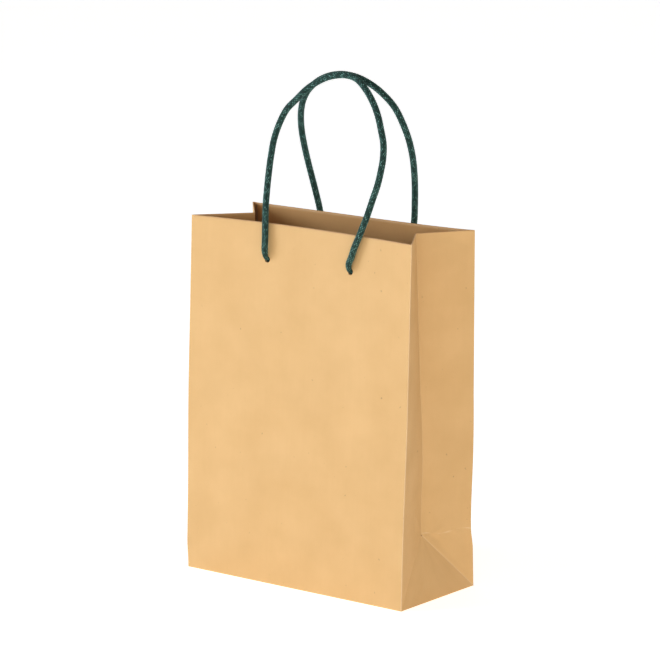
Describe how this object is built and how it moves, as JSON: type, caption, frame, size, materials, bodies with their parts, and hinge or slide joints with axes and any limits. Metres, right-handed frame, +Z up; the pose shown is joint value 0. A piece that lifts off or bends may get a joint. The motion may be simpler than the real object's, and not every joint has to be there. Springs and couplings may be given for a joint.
{
  "type": "gift bag",
  "caption": "Upright kraft paper gift bag with folded side gussets, a flat folded base, a turned-in top and braided cord handles through punched holes.",
  "frame": {"origin": "middle of the base's underside, on the surface that the bag stands on", "axes": "+Z up through the mouth, -Y out of the front panel, +X to the right as seen from the front"},
  "size_m": [0.18, 0.08, 0.3409],
  "materials": {
    "kraft_outer": "smooth matt kraft paper",
    "kraft_inner": "plain kraft paper, seen from inside",
    "card": "grey-brown board",
    "cord": "dark green braided cord with a slight sheen"
  },
  "bodies": {
    "base": {"bottom_front_flap": "kraft_outer", "bottom_back_flap": "kraft_outer", "left_bottom_tuck": "kraft_outer", "right_bottom_tuck": "kraft_outer", "base_board": "card"},
    "front": {"front_panel": "kraft_outer", "front_card": "card", "front_hem": "kraft_inner", "front_left_knot": "cord", "front_right_knot": "cord"},
    "back": {"back_panel": "kraft_outer", "back_lower_panel": "kraft_outer", "back_card": "card", "back_hem": "kraft_inner", "side_seam_flap": "kraft_inner", "back_left_knot": "cord", "back_right_knot": "cord"},
    "left_front_gusset": {"left_gusset_front": "kraft_outer", "left_gusset_front_hem": "kraft_inner"},
    "left_back_gusset": {"left_gusset_back": "kraft_outer", "left_gusset_back_corner": "kraft_outer", "left_gusset_back_hem": "kraft_inner"},
    "right_front_gusset": {"right_gusset_front": "kraft_outer", "right_gusset_front_hem": "kraft_inner"},
    "right_back_gusset": {"right_gusset_back": "kraft_outer", "right_gusset_back_corner": "kraft_outer", "right_gusset_back_hem": "kraft_inner"},
    "left_triangle": {"left_base_triangle": "kraft_outer"},
    "right_triangle": {"right_base_triangle": "kraft_outer"},
    "front_handle": {"front_handle_cord": "cord"},
    "back_handle": {"back_handle_cord": "cord"}
  },
  "joints": [
    {"name": "mouth_open", "type": "hinge", "parent": "base", "child": "front", "pos_m": [0, -0.04, 0], "axis": [1, 0, 0], "range_deg": [0, 1.7]},
    {"name": "back_panel_fold", "type": "hinge", "parent": "base", "child": "back", "pos_m": [0, 0.04, 0], "axis": [-1, 0, 0], "range_deg": [0, 1.7]},
    {"name": "left_front_crease", "type": "hinge", "parent": "front", "child": "left_front_gusset", "pos_m": [-0.09, -0.04, 0], "axis": [0, 0.0342, 0.9994], "range_deg": [0, 24]},
    {"name": "left_back_crease", "type": "hinge", "parent": "back", "child": "left_back_gusset", "pos_m": [-0.09, 0.04, 0], "axis": [0, 0.0342, -0.9994], "range_deg": [0, 24]},
    {"name": "right_front_crease", "type": "hinge", "parent": "front", "child": "right_front_gusset", "pos_m": [0.09, -0.04, 0], "axis": [0, -0.0342, -0.9994], "range_deg": [0, 24]},
    {"name": "right_back_crease", "type": "hinge", "parent": "back", "child": "right_back_gusset", "pos_m": [0.09, 0.04, 0], "axis": [0, -0.0342, 0.9994], "range_deg": [0, 24]},
    {"name": "left_base_crease", "type": "hinge", "parent": "base", "child": "left_triangle", "pos_m": [-0.09, 0, 0], "axis": [0, -1, 0], "range_deg": [0, 9.7]},
    {"name": "right_base_crease", "type": "hinge", "parent": "base", "child": "right_triangle", "pos_m": [0.09, 0, 0], "axis": [0, 1, 0], "range_deg": [0, 9.7]},
    {"name": "front_handle_swing", "type": "hinge", "parent": "front", "child": "front_handle", "pos_m": [0.0035, -0.02975, 0.21578], "axis": [1, 0, 0], "range_deg": [0, 170]},
    {"name": "back_handle_swing", "type": "hinge", "parent": "back", "child": "back_handle", "pos_m": [0.002, 0.03561, 0.21598], "axis": [-1, 0, 0], "range_deg": [0, 170]}
  ],
  "couplings": [
    {"joint": "back_panel_fold", "follows": "mouth_open", "ratio": 1},
    {"joint": "left_front_crease", "follows": "mouth_open", "ratio": 14.1},
    {"joint": "left_back_crease", "follows": "mouth_open", "ratio": 14.1},
    {"joint": "right_front_crease", "follows": "mouth_open", "ratio": 14.1},
    {"joint": "right_back_crease", "follows": "mouth_open", "ratio": 14.1},
    {"joint": "left_base_crease", "follows": "mouth_open", "ratio": 5.7},
    {"joint": "right_base_crease", "follows": "mouth_open", "ratio": 5.7}
  ]
}
